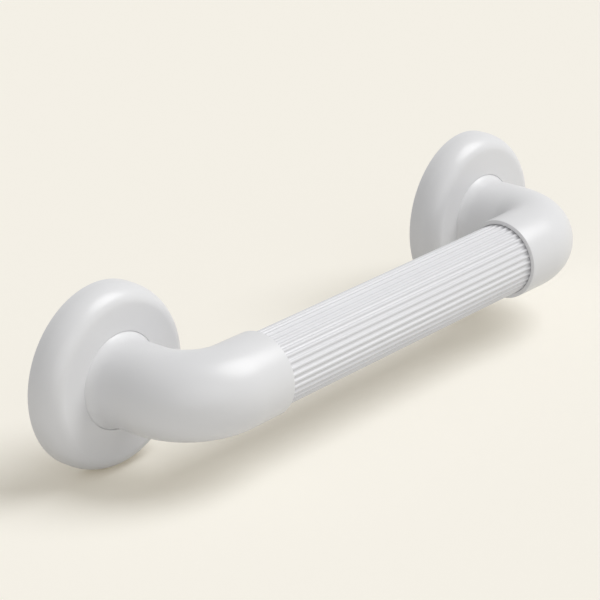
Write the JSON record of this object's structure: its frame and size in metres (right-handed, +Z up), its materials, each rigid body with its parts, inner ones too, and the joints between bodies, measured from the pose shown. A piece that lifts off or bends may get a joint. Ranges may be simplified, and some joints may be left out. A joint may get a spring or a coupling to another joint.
{
  "type": "grab bar",
  "caption": "Short wall grab bar: a ribbed plastic tube bonded into bent end fittings, with round clip-fit covers over the screw flanges.",
  "frame": {"origin": "on the wall plane, midway between the leg axes of the end fittings, at bar height", "axes": "+X along the bar, +Y into the wall, +Z up"},
  "size_m": [0.3454, 0.0768, 0.0844],
  "materials": {
    "grip_pvc": "satin",
    "elbow_abs": "satin",
    "cover_abs": "satin"
  },
  "bodies": {
    "root": {"fluted_grip": "grip_pvc", "left_elbow": "elbow_abs", "right_elbow": "elbow_abs", "left_cover": "cover_abs", "right_cover": "cover_abs"}
  },
  "joints": []
}
